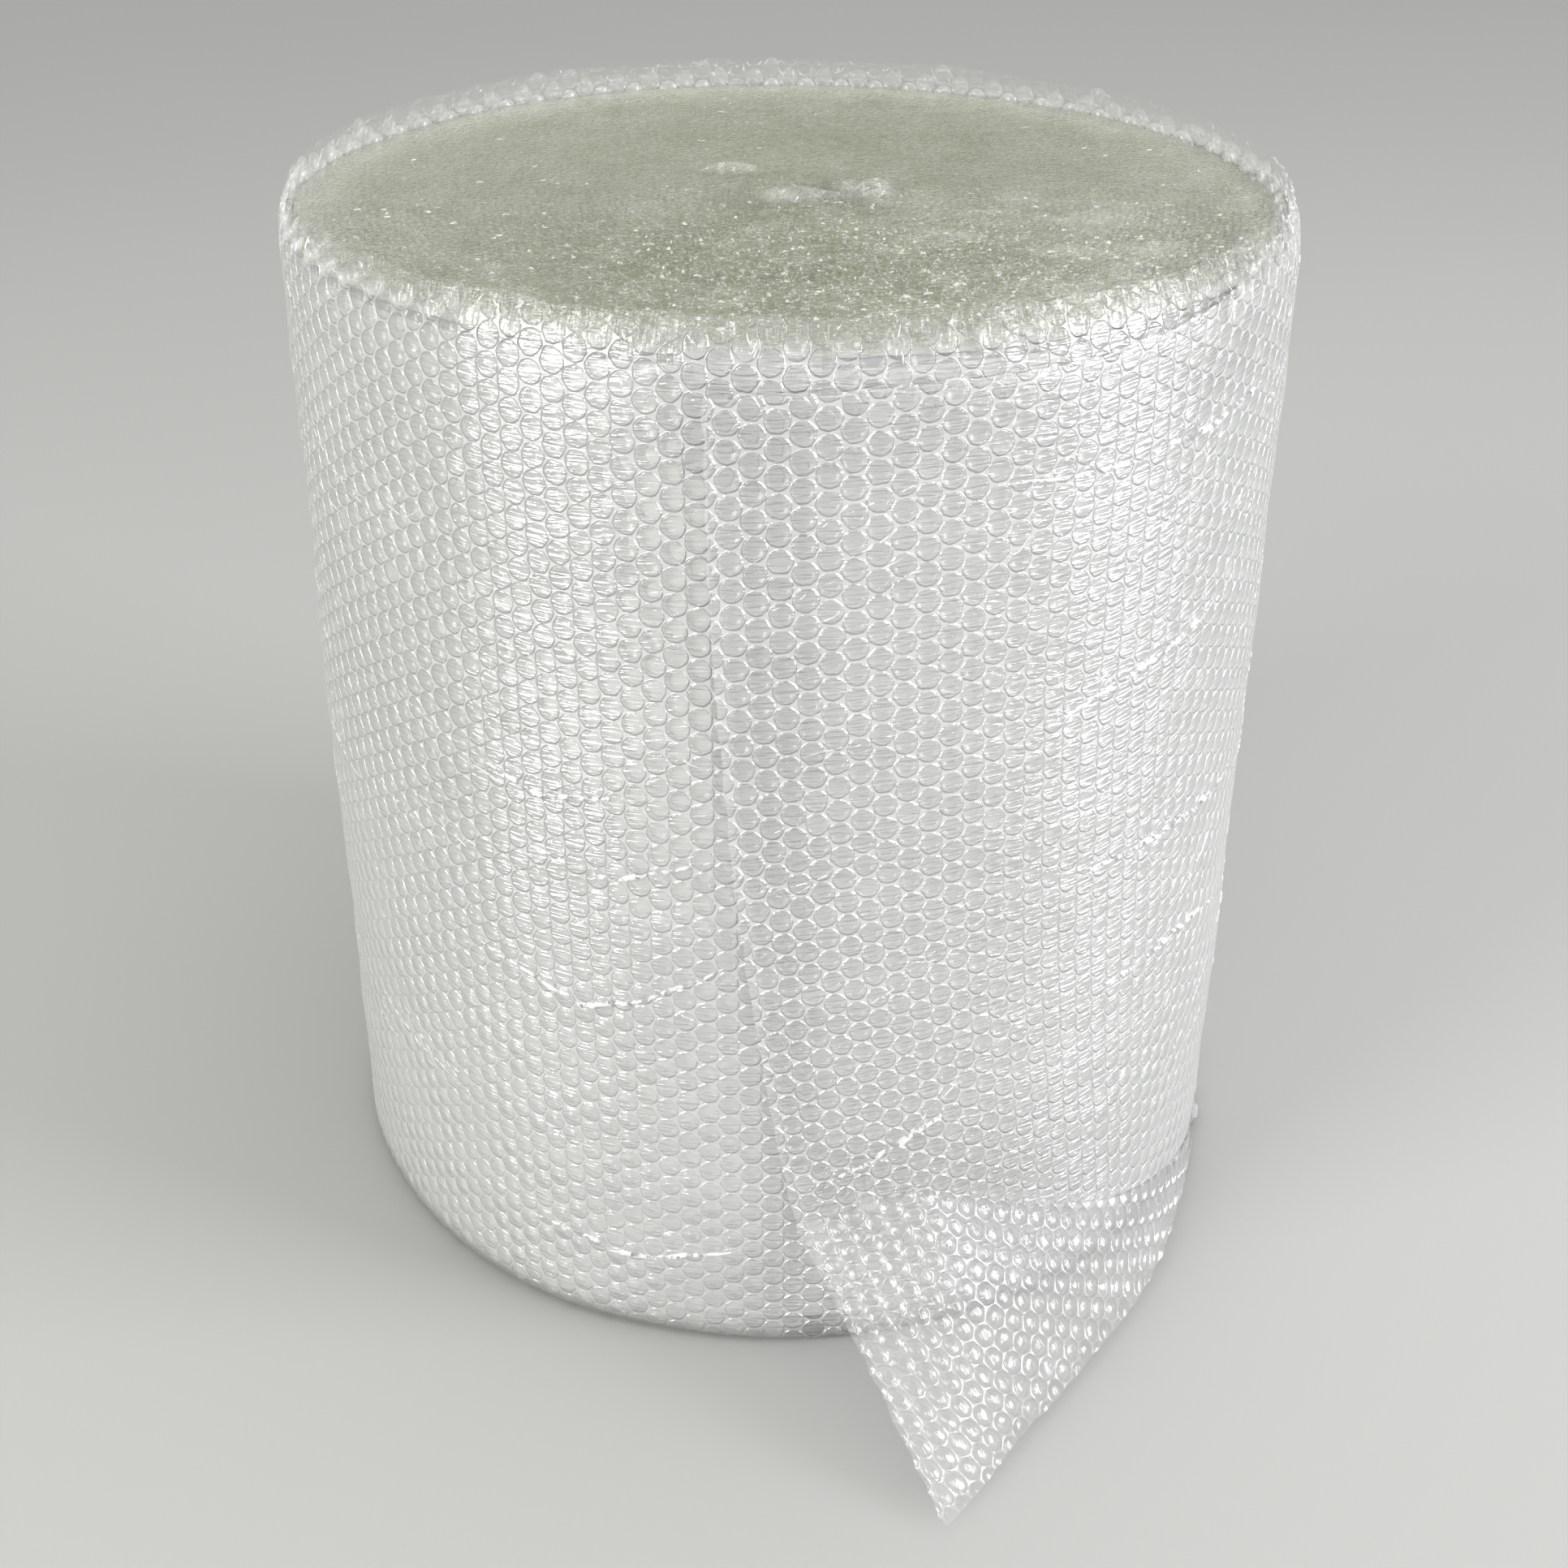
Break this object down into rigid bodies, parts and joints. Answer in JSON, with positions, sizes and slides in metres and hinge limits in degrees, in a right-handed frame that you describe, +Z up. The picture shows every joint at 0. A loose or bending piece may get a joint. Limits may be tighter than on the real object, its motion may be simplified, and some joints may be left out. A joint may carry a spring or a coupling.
{
  "type": "bubble wrap roll",
  "caption": "Upright roll of clear small-bubble cushioning film, wound without a visible core, with a cut end down its front and one loose corner lying on the floor.",
  "frame": {"origin": "on the roll's axis, at the surface it stands on", "axes": "+Z up along the roll's axis; -Y towards the front, where the cut end and the loose corner are; +X to the right of the front"},
  "size_m": [0.4605, 0.5702, 0.5],
  "materials": {
    "film": "clear polyethylene bubble film, milky where many layers lie over each other"
  },
  "bodies": {
    "root": {"bubble_wrap_roll": "film"}
  },
  "joints": []
}
